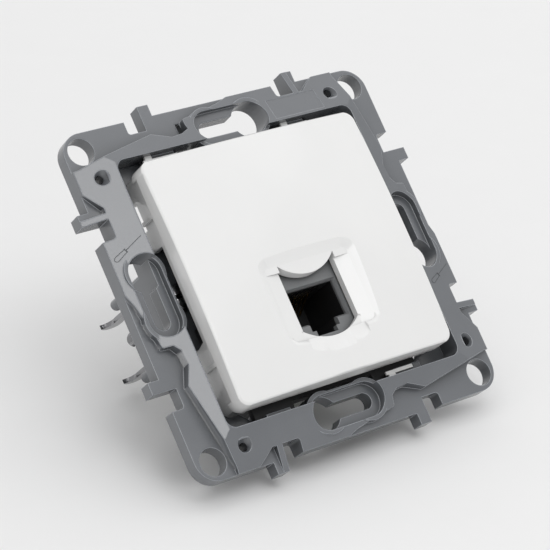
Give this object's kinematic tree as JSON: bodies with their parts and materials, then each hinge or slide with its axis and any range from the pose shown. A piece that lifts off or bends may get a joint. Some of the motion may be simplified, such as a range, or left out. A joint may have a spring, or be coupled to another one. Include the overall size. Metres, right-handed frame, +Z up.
{
  "type": "network wall socket",
  "caption": "Flush wall socket for one network plug: domed square cover with a sunk port, moulded support frame with keyholes, and screw-driven claws for a round wall box.",
  "frame": {"origin": "middle of the support frame's square, on the plane of its back face, which lies on the wall", "axes": "-Y is the front, towards the room; +Z is up as it hangs on the wall; +X is to the right seen from the front"},
  "size_m": [0.0758, 0.0415, 0.0758],
  "materials": {
    "frame_plastic": "satin",
    "cover_plastic": "gloss",
    "dark_plastic": "matte",
    "jack_plastic": "satin",
    "black_plastic": "matte",
    "board": "satin",
    "block_plastic": "satin",
    "cap_plastic": "satin",
    "contact_gold": "polished",
    "blade_metal": "satin",
    "bright_steel": "polished"
  },
  "bodies": {
    "socket": {"support_frame": "frame_plastic", "front_cover": "cover_plastic", "jack_carrier": "dark_plastic", "jack_housing": "jack_plastic", "contact_insert": "black_plastic", "jack_board": "board", "idc_block": "block_plastic", "wire_cap": "cap_plastic", "contact_1": "contact_gold", "contact_2": "contact_gold", "contact_3": "contact_gold", "contact_4": "contact_gold", "contact_5": "contact_gold", "contact_6": "contact_gold", "contact_7": "contact_gold", "contact_8": "contact_gold", "idc_terminal_1": "blade_metal", "idc_terminal_2": "blade_metal", "idc_terminal_3": "blade_metal", "idc_terminal_4": "blade_metal", "idc_terminal_5": "blade_metal", "idc_terminal_6": "blade_metal", "idc_terminal_7": "blade_metal", "idc_terminal_8": "blade_metal"},
    "claw_left": {"claw_left": "bright_steel"},
    "claw_right": {"claw_right": "bright_steel"},
    "claw_screw_left": {"claw_screw_left": "bright_steel"},
    "claw_screw_right": {"claw_screw_right": "bright_steel"}
  },
  "joints": [
    {"name": "claw_screw_left_turn", "type": "hinge", "parent": "socket", "child": "claw_screw_left", "pos_m": [-0.0231, 0, 0], "axis": [0, 1, 0], "range_deg": [0, 2520]},
    {"name": "claw_screw_right_turn", "type": "hinge", "parent": "socket", "child": "claw_screw_right", "pos_m": [0.0231, 0, 0], "axis": [0, 1, 0], "range_deg": [0, 2520]},
    {"name": "claw_left_travel", "type": "slide", "parent": "socket", "child": "claw_left", "axis": [0, -1, 0], "range_m": [0, 0.0049]},
    {"name": "claw_right_travel", "type": "slide", "parent": "socket", "child": "claw_right", "axis": [0, -1, 0], "range_m": [0, 0.0049]}
  ],
  "couplings": [
    {"joint": "claw_screw_left_turn", "follows": "claw_left_travel", "rad_per_m": 8976},
    {"joint": "claw_screw_right_turn", "follows": "claw_right_travel", "rad_per_m": 8976}
  ]
}
